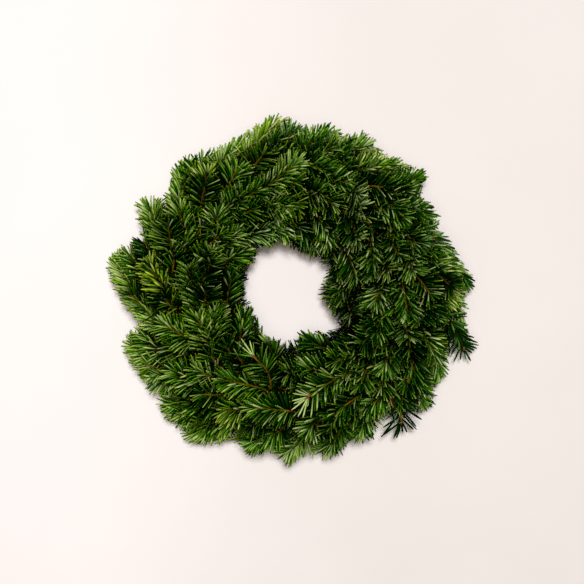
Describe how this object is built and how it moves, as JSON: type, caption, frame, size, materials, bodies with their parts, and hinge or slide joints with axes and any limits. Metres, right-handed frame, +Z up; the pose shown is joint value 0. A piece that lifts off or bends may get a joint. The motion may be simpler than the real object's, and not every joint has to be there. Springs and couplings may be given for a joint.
{
  "type": "advent wreath",
  "caption": "Round fir wreath bound on a straw ring, with needle sprays that all point one way round and an open middle, lying flat.",
  "frame": {"origin": "on the surface that the wreath lies on, below the middle of its outline", "axes": "+Z up out of the wreath, +Y towards the top of the picture; seen from +Z the tips point clockwise"},
  "size_m": [0.3977, 0.3759, 0.0878],
  "materials": {
    "straw": "dry straw, matt",
    "green_wire": "green lacquer, satin",
    "fir": "fresh needles, waxy half gloss, on brown bark"
  },
  "bodies": {
    "root": {"straw_ring": "straw", "binding_wire": "green_wire", "rim_spray_01": "fir", "shoulder_spray_01": "fir", "crown_spray_01": "fir", "hole_spray_01": "fir", "rim_spray_02": "fir", "shoulder_spray_02": "fir", "crown_spray_02": "fir", "hole_spray_02": "fir", "rim_spray_03": "fir", "shoulder_spray_03": "fir", "crown_spray_03": "fir", "hole_spray_03": "fir", "rim_spray_04": "fir", "shoulder_spray_04": "fir", "crown_spray_04": "fir", "hole_spray_04": "fir", "rim_spray_05": "fir", "shoulder_spray_05": "fir", "crown_spray_05": "fir", "hole_spray_05": "fir", "rim_spray_06": "fir", "shoulder_spray_06": "fir", "crown_spray_06": "fir", "hole_spray_06": "fir", "rim_spray_07": "fir", "shoulder_spray_07": "fir", "crown_spray_07": "fir", "hole_spray_07": "fir", "rim_spray_08": "fir", "shoulder_spray_08": "fir", "crown_spray_08": "fir", "hole_spray_08": "fir", "rim_spray_09": "fir", "shoulder_spray_09": "fir", "crown_spray_09": "fir", "hole_spray_09": "fir", "rim_spray_10": "fir", "shoulder_spray_10": "fir", "crown_spray_10": "fir", "hole_spray_10": "fir", "rim_spray_11": "fir", "shoulder_spray_11": "fir", "crown_spray_11": "fir", "hole_spray_11": "fir", "rim_spray_12": "fir", "shoulder_spray_12": "fir", "crown_spray_12": "fir", "hole_spray_12": "fir", "rim_spray_13": "fir", "shoulder_spray_13": "fir", "crown_spray_13": "fir", "hole_spray_13": "fir", "rim_spray_14": "fir", "shoulder_spray_14": "fir", "crown_spray_14": "fir", "hole_spray_14": "fir"}
  },
  "joints": []
}
